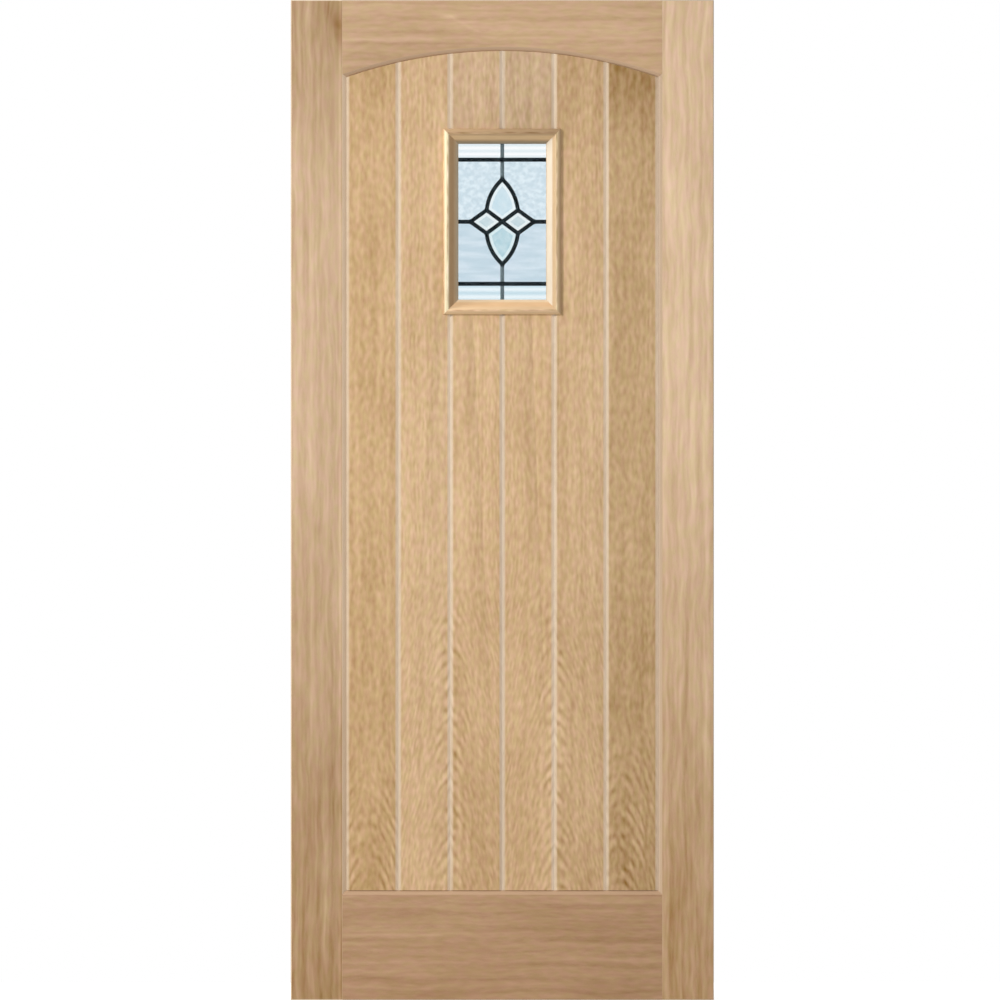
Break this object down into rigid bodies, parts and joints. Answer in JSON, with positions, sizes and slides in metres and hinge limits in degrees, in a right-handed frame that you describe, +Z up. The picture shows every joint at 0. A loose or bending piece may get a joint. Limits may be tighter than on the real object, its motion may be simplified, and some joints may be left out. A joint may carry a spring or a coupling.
{
  "type": "arched panel oak door leaf with leaded window",
  "caption": "Framed oak door leaf with an arched top rail, V-jointed vertical boards and a small leaded window behind raised beads.",
  "frame": {"origin": "bottom edge, middle of the width and of the thickness", "axes": "+Z up the door, +X to the right as seen from the front, -Y out of the front face"},
  "size_m": [0.838, 0.056, 1.981],
  "materials": {
    "oak_frame": "pale oak, fine sanded, straight grain along each piece",
    "oak_boards": "pale oak, fine sanded, flecked and cathedral grain, paler in the V joints",
    "oak_beads": "pale oak, moulded and sanded smooth",
    "lead": "dark patinated lead came with soldered joints",
    "textured_glass": "clear glass with a fine rolled texture",
    "strip_glass": "clear glass, lightly reeded",
    "bevelled_glass": "clear polished glass with a wide bevel",
    "clear_glass": "clear float glass",
    "spacer_bar": "mill-finish spacer bar",
    "seal_rubber": "black edge sealant",
    "glazing_foam": "pale closed-cell glazing tape",
    "block_plastic": "plain moulded glazing block",
    "pin_steel": "bright steel pin"
  },
  "bodies": {
    "root": {"board_1": "oak_boards", "board_2": "oak_boards", "board_3_lower": "oak_boards", "board_3_upper": "oak_boards", "board_4_lower": "oak_boards", "board_4_upper": "oak_boards", "board_5": "oak_boards", "board_6": "oak_boards", "bottom_rail": "oak_frame", "edge_seal": "seal_rubber", "front_bead_bottom": "oak_beads", "front_bead_left": "oak_beads", "front_bead_pins": "pin_steel", "front_bead_right": "oak_beads", "front_bead_top": "oak_beads", "front_glazing_tape": "glazing_foam", "front_pane": "clear_glass", "front_spacer": "spacer_bar", "glass_diamond_left": "bevelled_glass", "glass_diamond_right": "bevelled_glass", "glass_pane_lower_left": "textured_glass", "glass_pane_lower_right": "textured_glass", "glass_pane_upper_left": "textured_glass", "glass_pane_upper_right": "textured_glass", "glass_petal_lower": "bevelled_glass", "glass_petal_upper": "bevelled_glass", "glass_strip_bottom_left": "strip_glass", "glass_strip_bottom_right": "strip_glass", "glass_strip_top_left": "strip_glass", "glass_strip_top_right": "strip_glass", "lead_cames": "lead", "left_stile": "oak_frame", "location_blocks": "block_plastic", "rear_bead_bottom": "oak_beads", "rear_bead_left": "oak_beads", "rear_bead_pins": "pin_steel", "rear_bead_right": "oak_beads", "rear_bead_top": "oak_beads", "rear_glazing_tape": "glazing_foam", "rear_pane": "clear_glass", "rear_spacer": "spacer_bar", "right_stile": "oak_frame", "setting_blocks": "block_plastic", "top_rail": "oak_frame"}
  },
  "joints": []
}
